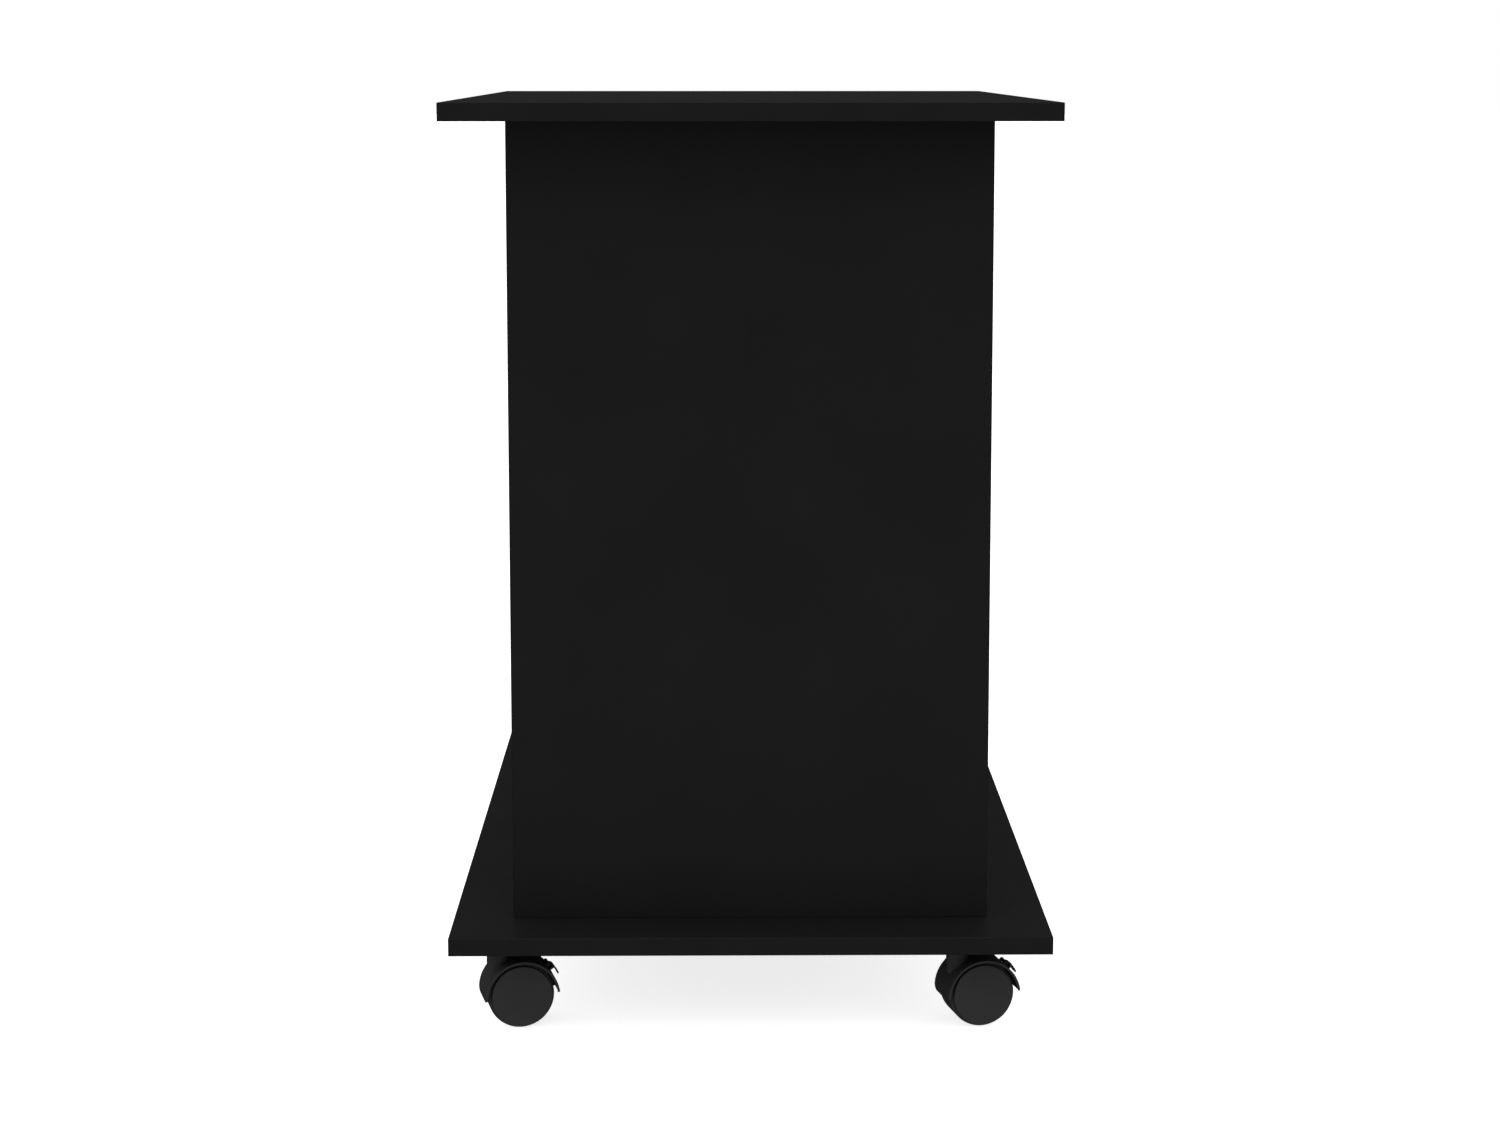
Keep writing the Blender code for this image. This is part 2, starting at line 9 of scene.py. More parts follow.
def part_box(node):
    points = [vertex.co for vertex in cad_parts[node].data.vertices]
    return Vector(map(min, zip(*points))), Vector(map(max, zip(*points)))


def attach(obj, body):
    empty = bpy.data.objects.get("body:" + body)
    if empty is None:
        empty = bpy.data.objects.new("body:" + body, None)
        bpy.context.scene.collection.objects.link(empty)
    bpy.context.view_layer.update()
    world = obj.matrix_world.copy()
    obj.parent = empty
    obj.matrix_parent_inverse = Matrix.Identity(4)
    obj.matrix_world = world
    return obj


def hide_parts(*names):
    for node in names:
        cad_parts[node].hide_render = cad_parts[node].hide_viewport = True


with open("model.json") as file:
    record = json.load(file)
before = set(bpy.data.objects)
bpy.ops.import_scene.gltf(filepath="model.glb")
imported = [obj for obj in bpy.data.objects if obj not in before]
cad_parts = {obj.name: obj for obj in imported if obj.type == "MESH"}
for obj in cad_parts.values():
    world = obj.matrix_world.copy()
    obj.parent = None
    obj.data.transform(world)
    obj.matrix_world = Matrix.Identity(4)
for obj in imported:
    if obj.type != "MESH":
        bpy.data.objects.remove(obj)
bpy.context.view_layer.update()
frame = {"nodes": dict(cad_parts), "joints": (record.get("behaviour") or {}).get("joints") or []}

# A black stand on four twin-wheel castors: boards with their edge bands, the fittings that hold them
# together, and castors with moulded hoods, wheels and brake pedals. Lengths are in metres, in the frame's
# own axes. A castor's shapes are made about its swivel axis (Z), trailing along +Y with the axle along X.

MM = 0.001

# Boards
BAND = 0.8 * MM
BAND_ROUND = 0.5 * MM
SEAM = 0.12 * MM
FLUSH = 0.01 * MM

# Finishing
SHARP_ANGLE = 32
TOUCHING = 1e-6

# Fittings
CAM_RADIUS = 7.4 * MM
CAM_DEPTH = 11.9 * MM
CAM_MIDDLE = 7.2 * MM
BOLT_LENGTH = 35.0 * MM
CONFIRMAT_LENGTH = 50 * MM
CASTOR_SCREW_LENGTH = 12 * MM
PAN_HEAD_HEIGHT = 2.0 * MM

# Castors
TRAIL = 17.4 * MM
WHEEL_RADIUS = 28 * MM
WHEEL_INNER_FACE = 4 * MM
WHEEL_OUTER_FACE = 20 * MM
TREAD_OUTER_FACE = 15.5 * MM
FACE_RADIUS = 25.6 * MM
FACE_ROUND = 0.7 * MM
TREAD_ROUND = 1.6 * MM
INNER_ROUND = 0.9 * MM
WHEEL_FACE_WALL = 3.2 * MM
RIM_INSIDE = 24.2 * MM
RIM_EASE = 0.4 * MM
HUB_RADIUS = 7.2 * MM
HUB_EASE = 0.3 * MM
DRAFT = 0.4 * MM
SPOKES = 8
SPOKE_RADII = (6.8 * MM, 24.4 * MM)
SPOKE_WIDTH = 1.2 * MM
SPOKE_SET_BACK = 1.2 * MM
WHEEL_BORE = 3.3 * MM
WHEEL_BORE_END = 17.8 * MM
AXLE_RADIUS = 3 * MM
AXLE_HALF = 17.5 * MM
HOOD_RADIUS = 31.6 * MM
HOOD_WALL = 1.4 * MM
HOOD_HALF = 21.2 * MM
BEAD_HEIGHT = 2.1 * MM
BEAD_WIDTH = 1.3 * MM
BEAD_END = 2.0 * MM
BEAD_ROUND = 0.45 * MM
HOOD_ANGLES = (7, 185)
HOOD_CORNER = 6.5 * MM
WEB_HALF = 3 * MM
WEB_ANGLES = (7.5, 184.5)
BOSS_RADIUS = 8 * MM
BOSS_HALF = 3.4 * MM
NECK_RADIUS = 9.5 * MM
NECK_FOOT = 44 * MM
NECK_TOP = 71.7 * MM
KINGPIN_RADIUS = 5 * MM
KINGPIN_LOW = 57.6 * MM
KINGPIN_BORE_LOW = 57.0 * MM
PLATE_HALF = 20 * MM
PLATE_CORNER = 4 * MM
PLATE_LOW = 72.2 * MM
PLATE_HIGH = 74.7 * MM
SCREW_SPACING = 30 * MM
PEDAL_HALF = 4.5 * MM
PEDAL_RADII = (35.0 * MM, 36.3 * MM)
PEDAL_ANGLES = (24, 38)
PIVOT_RADIUS = 33.1 * MM
PIVOT_ANGLE = 45
BARREL_RADIUS = 1.2 * MM
TRUNNION_RADIUS = 0.8 * MM
TRUNNION_HALF = 6.4 * MM
SHOE_HALF = 8 * MM
SHOE_RADII = (29.6 * MM, 35.2 * MM)
SHOE_ANGLES = (36.5, 40)
WINDOW_HALF = 8.6 * MM
WINDOW_RADII = (28.0 * MM, 36.6 * MM)
WINDOW_ANGLES = (33.5, 42.5)
EAR_FACES = (4.8 * MM, 6.6 * MM)
EAR_RADIUS = 1.8 * MM
EAR_FOOT_RADII = (30.8 * MM, 33.1 * MM)
EAR_FOOT_ANGLES = (43, 48)
RUNNING_GAP = 0.3 * MM

AXLE_CENTRE = Vector((0, TRAIL, WHEEL_RADIUS))
HOOD_CENTRE = Vector((0, TRAIL + 0.7 * MM, WHEEL_RADIUS - 1.5 * MM))
PIVOT_CENTRE = HOOD_CENTRE + PIVOT_RADIUS * Vector(
    (0, math.cos(math.radians(PIVOT_ANGLE)), math.sin(math.radians(PIVOT_ANGLE)))
)
X = Vector((1, 0, 0))
Z = Vector((0, 0, 1))
CARCASS = "carcass"
CORNERS = ("front_left", "front_right", "rear_left", "rear_right")


# ---------------------------------------------------------------- finishes


def linear(code):
    """A colour written as an sRGB hex code, in linear light."""
    parts = [int(code[i : i + 2], 16) / 255 for i in (1, 3, 5)]
    return (*[c / 12.92 if c <= 0.04045 else ((c + 0.055) / 1.055) ** 2.4 for c in parts], 1)


def add(tree, kind, inputs=None, **settings):
    """Adds a node. inputs gives each socket, by name or number, a value or another node's output."""
    made = tree.nodes.new(kind)
    for name, value in settings.items():
        setattr(made, name, value)
    for socket, value in (inputs or {}).items():
        if isinstance(value, bpy.types.NodeSocket):
            tree.links.new(value, made.inputs[socket])
        else:
            made.inputs[socket].default_value = value
    return made


def surface(name, colours, roughness, grain, clouds, stretch=(1, 1, 1), cells=False, **shader_values):
    """A finish with a fine relief, and slow clouds in its colour and roughness.

    colours are its darkest and lightest, roughness its lowest and highest. grain is the relief's
    (size, height) and clouds the size of the slow change, in metres. stretch lengthens the grain's size
    along each axis. cells draws the colour as separate chips of the grain's size.
    """
    material = bpy.data.materials.new(name)
    material.use_nodes = True
    tree = material.node_tree
    shader = tree.nodes["Principled BSDF"]
    for socket, value in shader_values.items():
        shader.inputs[socket.replace("_", " ")].default_value = value
    size, height = grain
    place = add(tree, "ShaderNodeTexCoord").outputs["Object"]
    along = add(tree, "ShaderNodeMapping", {"Vector": place, "Scale": [1 / s for s in stretch]})
    slow = add(tree, "ShaderNodeTexNoise", {"Vector": place, "Scale": 1 / clouds, "Detail": 3.0})
    fine = add(tree, "ShaderNodeTexNoise", {"Vector": along.outputs[0], "Scale": 1 / size, "Detail": 2.0})
    relief = fine.outputs["Fac"]
    shade = slow.outputs["Fac"]
    if cells:
        chips = add(tree, "ShaderNodeTexVoronoi", {"Vector": along.outputs[0], "Scale": 1 / size})
        relief = chips.outputs["Distance"]
        shade = add(tree, "ShaderNodeSeparateColor", {"Color": chips.outputs["Color"]}).outputs[0]
    blended = add(
        tree,
        "ShaderNodeMixRGB",
        {"Fac": shade, "Color1": linear(colours[0]), "Color2": linear(colours[1])},
    )
    spread = add(
        tree,
        "ShaderNodeMapRange",
        {
            "Value": slow.outputs["Fac"],
            "From Min": 0.3,
            "From Max": 0.7,
            "To Min": roughness[0],
            "To Max": roughness[1],
        },
    )
    bump = add(tree, "ShaderNodeBump", {"Height": relief, "Distance": height, "Strength": 1.0})
    tree.links.new(blended.outputs["Color"], shader.inputs["Base Color"])
    tree.links.new(spread.outputs["Result"], shader.inputs["Roughness"])
    tree.links.new(bump.outputs["Normal"], shader.inputs["Normal"])
    return material


# Melamine film pressed on chipboard against an etched plate: a dull black with a faint pearl, whose grains
# are drawn a little coarser than the real 0.5 mm so that they show at arm's length.
MELAMINE = surface(
    "melamine_faced_board", ("#1a1a1b", "#1d1d1e"), (0.40, 0.47), (1.2 * MM, 0.012 * MM), 90 * MM,
    IOR=1.5, Specular_IOR_Level=0.15,
)
# Extruded ABS band: slightly smoother than the film, with faint lines drawn along its length.
EDGE_BAND = surface(
    "extruded_abs_edge_band", ("#1a1a1b", "#1d1d1e"), (0.34, 0.42), (0.7 * MM, 0.006 * MM), 60 * MM,
    stretch=(8, 8, 1), IOR=1.54, Specular_IOR_Level=0.18,
)
# Raw chipboard inside the bores and at the edges that are hidden: glued flakes of pale wood.
CHIPBOARD = surface(
    "raw_chipboard", ("#6e5334", "#b08f62"), (0.82, 0.92), (1.8 * MM, 0.15 * MM), 15 * MM,
    stretch=(1.6, 1.6, 0.6), cells=True, IOR=1.5, Specular_IOR_Level=0.3,
)
# Nylon moulded in a spark-eroded tool: an even satin grain over every face.
NYLON = surface(
    "moulded_black_nylon", ("#303031", "#343435"), (0.42, 0.50), (0.45 * MM, 0.010 * MM), 25 * MM,
    IOR=1.53, Specular_IOR_Level=0.3,
)
# Bright zinc plating on pressed steel: cool grey, faintly clouded by its passivation.
ZINC_PLATE = surface(
    "zinc_plated_steel", ("#b4b8bc", "#c9ccce"), (0.24, 0.34), (0.8 * MM, 0.004 * MM), 9 * MM,
    Metallic=1.0,
)
# Zinc alloy as it leaves the die: greyer, with soft casting marks.
DIE_CAST = surface(
    "die_cast_zinc_alloy", ("#8f9192", "#a9abab"), (0.38, 0.50), (0.6 * MM, 0.020 * MM), 5 * MM,
    Metallic=1.0,
)


# ---------------------------------------------------------------- shapes


def held(mesh, name="shape"):
    """A working object round a bmesh, which it uses up."""
    bmesh.ops.remove_doubles(mesh, verts=mesh.verts, dist=1e-7)
    bmesh.ops.recalc_face_normals(mesh, faces=mesh.faces)
    data = bpy.data.meshes.new(name)
    mesh.to_mesh(data)
    mesh.free()
    obj = bpy.data.objects.new(name, data)
    bpy.context.scene.collection.objects.link(obj)
    return obj


def plain(obj, name="shape"):
    """The object with its modifiers applied, as a plain mesh at the origin; the object is removed."""
    bpy.context.view_layer.update()
    graph = bpy.context.evaluated_depsgraph_get()
    data = bpy.data.meshes.new_from_object(obj.evaluated_get(graph))
    data.transform(obj.matrix_world)
    made = bpy.data.objects.new(name, data)
    bpy.context.scene.collection.objects.link(made)
    bpy.data.objects.remove(obj)
    return made


def joined(base, parts=(), cuts=()):
    """base with the parts joined on and then the cuts taken out, one at a time, as a closed mesh."""
    for operation, others in (("UNION", parts), ("DIFFERENCE", cuts)):
        for other in others:
            modifier = base.modifiers.new(operation, "BOOLEAN")
            modifier.operation = operation
            modifier.object = other
            base = plain(base)
            bpy.data.objects.remove(other)
            mesh = bmesh.new()
            mesh.from_mesh(base.data)
            bmesh.ops.remove_doubles(mesh, verts=mesh.verts, dist=TOUCHING)
            bmesh.ops.recalc_face_normals(mesh, faces=mesh.faces)
            mesh.to_mesh(base.data)
            mesh.free()
    return base


def softened(obj, width, segments=2, angle=40):
    """The object with its edges over the angle, in degrees, rounded off."""
    bevel = obj.modifiers.new("Softened", "BEVEL")
    bevel.width = width
    bevel.segments = segments
    bevel.limit_method = "ANGLE"
    bevel.angle_limit = math.radians(angle)
    return plain(obj)


def moved(obj, matrix):
    obj.data.transform(matrix)
    return obj


def block(low, high):
    mesh = bmesh.new()
    bmesh.ops.create_cube(mesh, size=1)
    low, high = Vector(low), Vector(high)
    bmesh.ops.scale(mesh, vec=high - low, verts=mesh.verts)
    bmesh.ops.translate(mesh, vec=(low + high) / 2, verts=mesh.verts)
    return held(mesh)


def turned(profile, sides, thread=None):
    """A solid turned about Z from (radius, height) points that start and end on the axis.

    thread is (low, high, pitch, depth): between those heights the surface winds in and out by the depth.
    """
    mesh = bmesh.new()
    rings = []
    for radius, height in profile:
        if radius == 0:
            rings.append([mesh.verts.new((0, 0, height))])
            continue
        ring = []
        for i in range(sides):
            turn = i / sides
            reach = radius
            if thread and thread[0] < height < thread[1]:
                wave = abs(((height / thread[2] - turn) % 1) * 2 - 1)
                reach -= thread[3] * wave
            angle = 2 * math.pi * turn
            ring.append(mesh.verts.new((reach * math.cos(angle), reach * math.sin(angle), height)))
        rings.append(ring)
    for one, two in zip(rings, rings[1:]):
        for i in range(sides):
            j = (i + 1) % sides
            corners = [one[i % len(one)], one[j % len(one)], two[j % len(two)], two[i % len(two)]]
            mesh.faces.new(list(dict.fromkeys(corners)))
    return held(mesh)


def rod(radius, start, end, sides=48, soft=0.0):
    """A round bar from start to end, with its end edges chamfered by soft."""
    start, end = Vector(start), Vector(end)
    length = (end - start).length
    if soft:
        profile = [
            (0, 0),
            (radius - soft, 0),
            (radius, soft),
            (radius, length - soft),
            (radius - soft, length),
            (0, length),
        ]
    else:
        profile = [(0, 0), (radius, 0), (radius, length), (0, length)]
    turn = Z.rotation_difference(end - start).to_matrix().to_4x4()
    return moved(turned(profile, sides), Matrix.Translation(start) @ turn)


def bar(radius, middle, half, sides, soft=0.0):
    """A rod lying across X, reaching half its length each way from its middle."""
    return rod(radius, middle - X * half, middle + X * half, sides, soft)


def on_arc(centre, radius, start, end, steps):
    """(y, z) points along an arc, in degrees from the trailing side, up over the top."""
    angles = [math.radians(start + (end - start) * i / steps) for i in range(steps + 1)]
    return [(centre.y + radius * math.cos(a), centre.z + radius * math.sin(a)) for a in angles]


def slab(outline, half, middle=0.0):
    """A closed (y, z) outline given a thickness of twice half, across X."""
    mesh = bmesh.new()
    near = [mesh.verts.new((middle - half, y, z)) for y, z in outline]
    far = [mesh.verts.new((middle + half, y, z)) for y, z in outline]
    mesh.faces.new(near)
    mesh.faces.new(far)
    for i in range(len(outline)):
        j = (i + 1) % len(outline)
        mesh.faces.new((near[i], near[j], far[j], far[i]))
    return held(mesh)


def ring_block(radii, angles, half, steps, middle=0.0):
    """A block between two radii and two angles about the hood's centre, across X."""
    inner, outer = radii
    start, end = angles
    outline = on_arc(HOOD_CENTRE, outer, start, end, steps) + on_arc(HOOD_CENTRE, inner, end, start, steps)
    return slab(outline, half, middle)


def rounded_square(half, radius, steps):
    """(a, b) points round a square about the origin, with its corners rounded."""
    inset = half - radius
    points = []
    for a, b, start in ((inset, inset, 0), (-inset, inset, 90), (-inset, -inset, 180), (inset, -inset, 270)):
        for i in range(steps + 1):
            angle = math.radians(start + 90 * i / steps)
            points.append((a + radius * math.cos(angle), b + radius * math.sin(angle)))
    return points


# ---------------------------------------------------------------- repeats


def socket_of(tree, name):
    return tree.interface.items_tree[name].identifier


def fittings_tree():
    """Sets a copy of one fitting at each point, by the point's facing and side attributes."""
    tree = bpy.data.node_groups.new("set_fittings", "GeometryNodeTree")
    inputs = (
        ("Places", "NodeSocketGeometry"),
        ("Fitting", "NodeSocketObject"),
        ("Finish", "NodeSocketMaterial"),
        ("Size", "NodeSocketFloat"),
        ("Most turn", "NodeSocketFloat"),
        ("Turn seed", "NodeSocketInt"),
    )
    for name, kind in inputs:
        tree.interface.new_socket(name, in_out="INPUT", socket_type=kind)
    tree.interface.new_socket("Set fittings", in_out="OUTPUT", socket_type="NodeSocketGeometry")
    given = add(tree, "NodeGroupInput").outputs
    facing = add(tree, "GeometryNodeInputNamedAttribute", {"Name": "facing"}, data_type="FLOAT_VECTOR")
    side = add(tree, "GeometryNodeInputNamedAttribute", {"Name": "side"}, data_type="FLOAT_VECTOR")
    faced = add(tree, "FunctionNodeAlignRotationToVector", {"Vector": facing.outputs[0]}, axis="Z")
    squared = add(
        tree,
        "FunctionNodeAlignRotationToVector",
        {"Rotation": faced.outputs[0], "Vector": side.outputs[0]},
        axis="X",
        pivot_axis="Z",
    )
    chance = add(
        tree,
        "FunctionNodeRandomValue",
        {"Max": given["Most turn"], "Seed": given["Turn seed"]},
        data_type="FLOAT",
    )
    turn = add(tree, "FunctionNodeAxisAngleToRotation", {"Axis": Z, "Angle": chance.outputs["Value"]})
    turned_by = add(
        tree,
        "FunctionNodeRotateRotation",
        {"Rotation": squared.outputs[0], "Rotate By": turn.outputs[0]},
        rotation_space="LOCAL",
    )
    fitting = add(tree, "GeometryNodeObjectInfo", {"Object": given["Fitting"]})
    copies = add(
        tree,
        "GeometryNodeInstanceOnPoints",
        {
            "Points": given["Places"],
            "Instance": fitting.outputs["Geometry"],
            "Rotation": turned_by.outputs[0],
            "Scale": given["Size"],
        },
    )
    real = add(tree, "GeometryNodeRealizeInstances", {"Geometry": copies.outputs[0]})
    painted = add(tree, "GeometryNodeSetMaterial", {"Geometry": real.outputs[0], "Material": given["Finish"]})
    add(tree, "NodeGroupOutput", {0: painted.outputs[0]})
    return tree


def ribs_tree():
    """Ribs set round the X axis: Count of them, a Step apart in angle from First, each a block."""
    tree = bpy.data.node_groups.new("ring_of_ribs", "GeometryNodeTree")
    inputs = (
        ("Count", "NodeSocketInt"),
        ("First", "NodeSocketFloat"),
        ("Step", "NodeSocketFloat"),
        ("Middle radius", "NodeSocketFloat"),
        ("Height", "NodeSocketFloat"),
        ("Width", "NodeSocketFloat"),
        ("Length", "NodeSocketFloat"),
        ("Finish", "NodeSocketMaterial"),
    )
    for name, kind in inputs:
        tree.interface.new_socket(name, in_out="INPUT", socket_type=kind)
    tree.interface.new_socket("Ribs", in_out="OUTPUT", socket_type="NodeSocketGeometry")
    given = add(tree, "NodeGroupInput").outputs
    row = add(tree, "GeometryNodeMeshLine", {"Count": given["Count"], "Offset": (0, 0, 0)})
    index = add(tree, "GeometryNodeInputIndex")
    angle = add(
        tree,
        "ShaderNodeMath",
        {0: index.outputs[0], 1: given["Step"], 2: given["First"]},
        operation="MULTIPLY_ADD",
    )
    turn = add(tree, "FunctionNodeAxisAngleToRotation", {"Axis": X, "Angle": angle.outputs[0]})
    size = add(
        tree, "ShaderNodeCombineXYZ", {"X": given["Length"], "Y": given["Height"], "Z": given["Width"]}
    )
    rib = add(tree, "GeometryNodeMeshCube", {"Size": size.outputs[0]})
    out = add(tree, "ShaderNodeCombineXYZ", {"Y": given["Middle radius"]})
    placed = add(
        tree, "GeometryNodeTransform", {"Geometry": rib.outputs["Mesh"], "Translation": out.outputs[0]}
    )
    copies = add(
        tree,
        "GeometryNodeInstanceOnPoints",
        {"Points": row.outputs["Mesh"], "Instance": placed.outputs[0], "Rotation": turn.outputs[0]},
    )
    real = add(tree, "GeometryNodeRealizeInstances", {"Geometry": copies.outputs[0]})
    painted = add(tree, "GeometryNodeSetMaterial", {"Geometry": real.outputs[0], "Material": given["Finish"]})
    add(tree, "NodeGroupOutput", {0: painted.outputs[0]})
    return tree


def grown(obj, tree, values, name):
    """obj run through a tree with those inputs, as a plain mesh."""
    modifier = obj.modifiers.new(tree.name, "NODES")
    modifier.node_group = tree
    for socket, value in values.items():
        modifier[socket_of(tree, socket)] = value
    obj.update_tag()
    return plain(obj, name)


def ribs(count, first, step, middle_radius, height, width, length, finish):
    """A row of ribs, with its angles given in degrees."""
    values = {
        "Count": count,
        "First": math.radians(first),
        "Step": math.radians(step),
        "Middle radius": middle_radius,
        "Height": height,
        "Width": width,
        "Length": length,
        "Finish": finish,
    }
    return grown(held(bmesh.new()), RIBS, values, "ribs")


def set_fittings(name, fitting, places, finish, most_turn=0.0, seed=0):
    """One piece made of copies of the fitting at (point, facing, side) places; the fitting is used up."""
    data = bpy.data.meshes.new("places")
    data.from_pydata([p[0] for p in places], [], [])
    for slot_number, attribute in ((1, "facing"), (2, "side")):
        layer = data.attributes.new(attribute, "FLOAT_VECTOR", "POINT")
        for i, place in enumerate(places):
            layer.data[i].vector = place[slot_number]
    points = bpy.data.objects.new("places", data)
    bpy.context.scene.collection.objects.link(points)
    values = {"Fitting": fitting, "Finish": finish, "Size": 1.0, "Most turn": most_turn, "Turn seed": seed}
    made = grown(points, FITTINGS, values, name)
    bpy.data.objects.remove(fitting)
    return made


RIBS = ribs_tree()
FITTINGS = fittings_tree()


# ---------------------------------------------------------------- finished pieces


def piece(obj, name, finishes, body, slot, *nodes):
    """Gives a finished shape its finish and even shading, and sets it in the frame in place of the nodes."""
    obj.data.materials.clear()
    for finish in finishes:
        obj.data.materials.append(finish)
    obj.data.shade_smooth()
    obj.data.set_sharp_from_angle(angle=math.radians(SHARP_ANGLE))
    shading = obj.modifiers.new("Even shading", "WEIGHTED_NORMAL")
    shading.keep_sharp = True
    obj = plain(obj, name)
    obj.data.name = name
    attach(obj, body)
    if nodes:
        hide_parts(*nodes)
    return obj


def band_strip(low, high, axis, side):
    """A strip of edge band: rounded along its outer edges, barely eased along the seam."""
    mesh = bmesh.new()
    bmesh.ops.create_cube(mesh, size=1)
    bmesh.ops.scale(mesh, vec=high - low, verts=mesh.verts)
    bmesh.ops.translate(mesh, vec=(low + high) / 2, verts=mesh.verts)
    face = high[axis] if side > 0 else low[axis]
    seam_face = low[axis] if side > 0 else high[axis]

    def lying_at(level):
        return [e for e in mesh.edges if all(abs(v.co[axis] - level) < TOUCHING for v in e.verts)]

    bmesh.ops.bevel(mesh, geom=lying_at(face), offset=BAND_ROUND, segments=4, profile=0.5, affect="EDGES")
    bmesh.ops.bevel(mesh, geom=lying_at(seam_face), offset=SEAM, segments=1, affect="EDGES")
    return held(mesh)


def banded_board(node, thin, banded):
    """A board's chipboard core in its film, and a strip of edge band on each banded side.

    thin is the axis across the board, and banded holds (word, axis, side) for each banded edge. The strips
    along the longer axis run the whole length, and cover the ends of the others.
    """
    low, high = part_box(node)
    mesh = bmesh.new()
    mesh.from_mesh(frame["nodes"][node].data)
    bmesh.ops.remove_doubles(mesh, verts=mesh.verts, dist=TOUCHING)
    for corner in mesh.verts:
        for _, axis, side in banded:
            face = high[axis] if side > 0 else low[axis]
            if abs(corner.co[axis] - face) < FLUSH:
                corner.co[axis] -= side * BAND
    bmesh.ops.dissolve_limit(mesh, angle_limit=0.002, verts=mesh.verts, edges=mesh.edges)
    core = held(mesh)
    trimmed = [(thin, low[thin]), (thin, high[thin])]
    trimmed += [(axis, high[axis] - BAND if side > 0 else low[axis] + BAND) for _, axis, side in banded]
    filmed = [
        any(abs(f.normal[axis]) > 0.99 and abs(f.center[axis] - level) < FLUSH for axis, level in trimmed)
        for f in core.data.polygons
    ]
    core = piece(core, f"{node}_core", (MELAMINE, CHIPBOARD), CARCASS, "black_melamine", node)
    for face, is_filmed in zip(core.data.polygons, filmed):
        face.material_index = 0 if is_filmed else 1

    sides = {axis for _, axis, _ in banded}
    long_axis = max(sides, key=lambda a: high[3 - thin - a] - low[3 - thin - a])
    for word, axis, side in banded:
        start, end = low.copy(), high.copy()
        if side > 0:
            start[axis] = high[axis] - BAND
        else:
            end[axis] = low[axis] + BAND
        across = 3 - thin - axis
        if axis != long_axis and len(sides) > 1:
            start[across] += BAND
            end[across] -= BAND
        strip = band_strip(start, end, axis, side)
        piece(strip, f"{node}_band_{word}", (EDGE_BAND,), CARCASS, "black_melamine")


FRONT_AND_REAR = (("front", 1, -1), ("rear", 1, 1))
ALL_ROUND = (*FRONT_AND_REAR, ("left", 0, -1), ("right", 0, 1))
banded_board("top_board", 2, ALL_ROUND)
banded_board("base_board", 2, ALL_ROUND)
banded_board("middle_shelf", 2, FRONT_AND_REAR)
banded_board("left_end_panel", 0, FRONT_AND_REAR)
banded_board("right_end_panel", 0, FRONT_AND_REAR)
banded_board("rear_rail", 1, (("bottom", 2, -1),))


# ---------------------------------------------------------------- fittings


def cross_recess(reach, width, depth):
    """Two crossing wedges, point down from z 0, that cut a driver's recess."""
    wedges = []
    for turn in (0, 90):
        mesh = bmesh.new()
        top = [(-reach, -width), (reach, -width), (reach, width), (-reach, width)]
        high = [mesh.verts.new((x, y, 0.2 * MM)) for x, y in top]
        low = [mesh.verts.new((x * 0.45, y * 0.6, -depth)) for x, y in top]
        mesh.faces.new(high)
        mesh.faces.new(low)
        for i in range(4):
            j = (i + 1) % 4
            mesh.faces.new((high[i], high[j], low[j], low[i]))
        wedges.append(moved(held(mesh), Matrix.Rotation(math.radians(turn), 4, "Z")))
    return wedges


def cam_fitting():
    """A cam disc under its face at z 0, with its bolt along +X: rim, recessed face and driver's cross."""
    disc = turned(
        [
            (0, -0.35 * MM),
            (5.6 * MM, -0.35 * MM),
            (5.9 * MM, 0),
            (CAM_RADIUS - 0.3 * MM, 0),
            (CAM_RADIUS, -0.3 * MM),
            (CAM_RADIUS, -4.2 * MM),
            (CAM_RADIUS - 0.5 * MM, -4.6 * MM),
            (CAM_RADIUS - 0.5 * MM, -9.8 * MM),
            (CAM_RADIUS, -10.2 * MM),
            (CAM_RADIUS, -CAM_DEPTH + 0.3 * MM),
            (CAM_RADIUS - 0.3 * MM, -CAM_DEPTH),
            (0, -CAM_DEPTH),
        ],
        64,
    )
    slot = block((-CAM_RADIUS - MM, -0.45 * MM, -0.8 * MM), (CAM_RADIUS + MM, 0.45 * MM, MM))
    disc = joined(disc, cuts=[*cross_recess(reach=2.9 * MM, width=0.95 * MM, depth=3.2 * MM), slot])
    thread_low = 23 * MM
    bolt = turned(
        [
            (0, 3 * MM),
            (2.3 * MM, 3 * MM),
            (2.6 * MM, 3.5 * MM),
            (2.6 * MM, thread_low - 1.5 * MM),
            (3.0 * MM, thread_low - MM),
            *[(3.0 * MM, thread_low + 0.25 * MM * i) for i in range(45)],
            (2.2 * MM, BOLT_LENGTH - 0.6 * MM),
            (0, BOLT_LENGTH),
        ],
        24,
        thread=(thread_low, thread_low + 11 * MM, 1.5 * MM, 0.6 * MM),
    )
    to_bolt = Matrix.Translation((0, 0, -CAM_MIDDLE)) @ Z.rotation_difference(X).to_matrix().to_4x4()
    return joined(disc, parts=[moved(bolt, to_bolt)])


def wood_screw(length, core, crest, pitch, head_profile, plain_end, tip):
    """A screw with its head round z 0 and its thread towards +Z. head_profile starts on the axis."""
    thread_end = length - tip
    count = round((thread_end - plain_end) / pitch * 6)
    winding = [(crest, plain_end + (thread_end - plain_end) * i / count) for i in range(count + 1)]
    profile = [
        *head_profile,
        (core, plain_end - 0.3 * MM),
        *winding,
        (core * 0.55, length - tip * 0.35),
        (0, length),
    ]
    return turned(profile, 24, thread=(plain_end - 1e-6, thread_end + 1e-6, pitch, crest - core))


